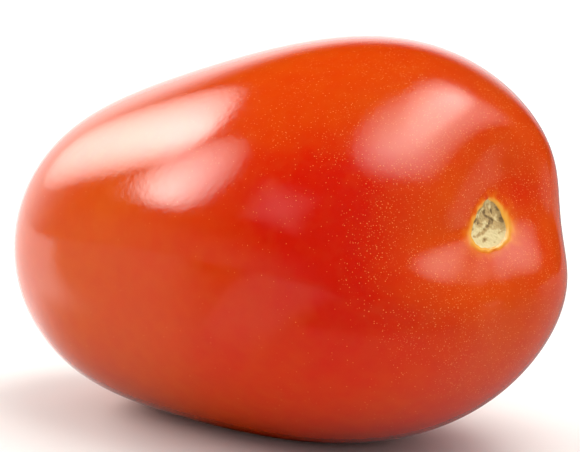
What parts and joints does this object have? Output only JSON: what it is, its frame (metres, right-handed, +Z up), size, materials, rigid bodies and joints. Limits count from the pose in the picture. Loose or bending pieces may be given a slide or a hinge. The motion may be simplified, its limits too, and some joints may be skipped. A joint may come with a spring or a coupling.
{
  "type": "plum tomato",
  "caption": "Ripe plum tomato as picked, lying on its side, with a grooved hollow round its corky stem scar.",
  "frame": {"origin": "middle of the fruit's box, on the surface that it rests on", "axes": "+X along the lying fruit from the blossom end to the stem end, +Z up"},
  "size_m": [0.0784, 0.0498, 0.0507],
  "materials": {
    "skin": "smooth waxy tomato skin, glossy"
  },
  "bodies": {
    "root": {"tomato": "skin"}
  },
  "joints": []
}
